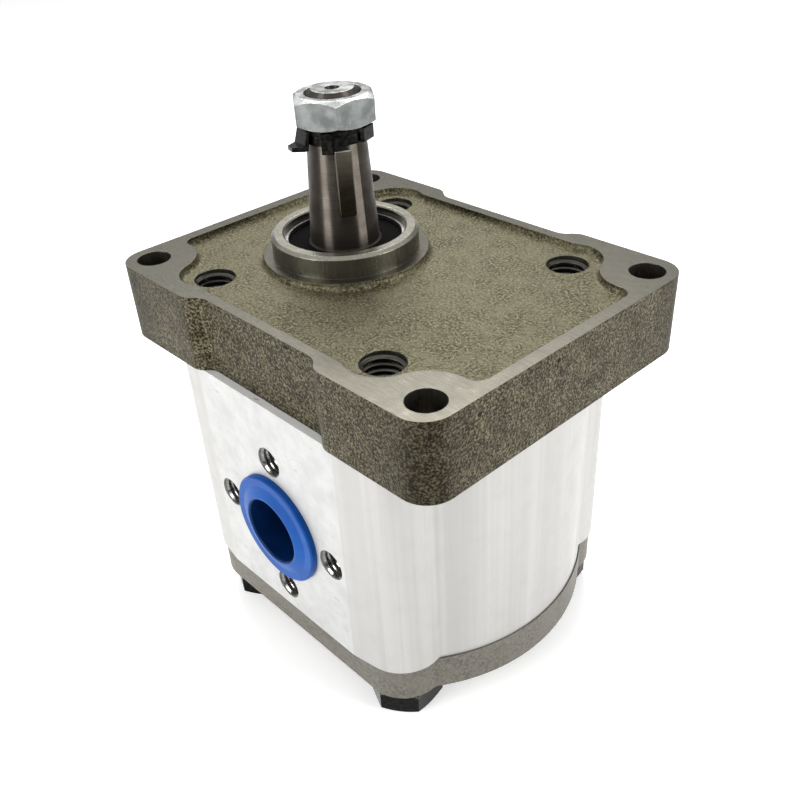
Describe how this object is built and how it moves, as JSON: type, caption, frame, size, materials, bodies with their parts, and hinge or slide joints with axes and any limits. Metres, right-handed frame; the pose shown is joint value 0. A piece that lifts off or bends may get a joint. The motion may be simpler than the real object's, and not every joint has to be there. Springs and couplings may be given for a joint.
{
  "type": "hydraulic gear pump",
  "caption": "External gear pump with a rectangular four-bolt flange, round pilot, keyed tapered shaft with nut, and plugged flanged ports on two sides.",
  "frame": {"origin": "centre of the pilot on the flange's mounting face", "axes": "+Z out along the drive shaft, +X from the drive shaft to the driven gear, -Y out of the inlet port"},
  "size_m": [0.1098, 0.0892, 0.1402],
  "materials": {
    "cast_iron_flange": "shot-blasted casting with ground mounting face",
    "extruded_aluminium": "bright extruded and milled",
    "cast_iron_cover": "shot-blasted casting",
    "black_steel": "black oxide",
    "hardened_steel": "ground",
    "bearing_alloy": "machined",
    "bush_lining": "sintered bronze",
    "seal_rubber": "smooth",
    "backup_plastic": "matte",
    "seal_case_steel": "plain",
    "spring_steel": "satin",
    "key_steel": "ground",
    "zinc_plated_steel": "bright zinc",
    "blue_plastic": "moulded"
  },
  "bodies": {
    "housing": {"mounting_flange": "cast_iron_flange", "pump_body": "extruded_aluminium", "rear_cover": "cast_iron_cover", "body_bolts": "black_steel", "dowel_pins": "hardened_steel", "front_bearing_block": "bearing_alloy", "rear_bearing_block": "bearing_alloy", "front_bushes": "bush_lining", "rear_bushes": "bush_lining", "front_block_seal": "seal_rubber", "rear_block_seal": "seal_rubber", "front_backup_ring": "backup_plastic", "rear_backup_ring": "backup_plastic", "front_body_seal": "seal_rubber", "rear_body_seal": "seal_rubber", "shaft_seal": "seal_rubber", "seal_case": "seal_case_steel", "garter_spring": "seal_case_steel", "retaining_ring": "spring_steel"},
    "drive_shaft": {"drive_gear_shaft": "hardened_steel", "shaft_key": "key_steel", "spring_washer": "black_steel", "tab_washer": "black_steel", "shaft_nut": "zinc_plated_steel"},
    "driven_shaft": {"driven_gear_shaft": "hardened_steel"},
    "inlet_cap": {"inlet_plug": "blue_plastic"},
    "outlet_cap": {"outlet_plug": "blue_plastic"}
  },
  "joints": [
    {"name": "drive_spin", "type": "hinge", "parent": "housing", "child": "drive_shaft", "pos_m": [0, 0, 0], "axis": [0, 0, 1], "continuous": true},
    {"name": "driven_spin", "type": "hinge", "parent": "housing", "child": "driven_shaft", "pos_m": [0.0312, 0, 0], "axis": [0, 0, 1], "continuous": true},
    {"name": "inlet_plug_pull", "type": "slide", "parent": "housing", "child": "inlet_cap", "axis": [0, -1, 0], "range_m": [0, 0.025]},
    {"name": "outlet_plug_pull", "type": "slide", "parent": "housing", "child": "outlet_cap", "axis": [0, 1, 0], "range_m": [0, 0.025]}
  ],
  "couplings": [
    {"joint": "driven_spin", "follows": "drive_spin", "ratio": -1}
  ]
}
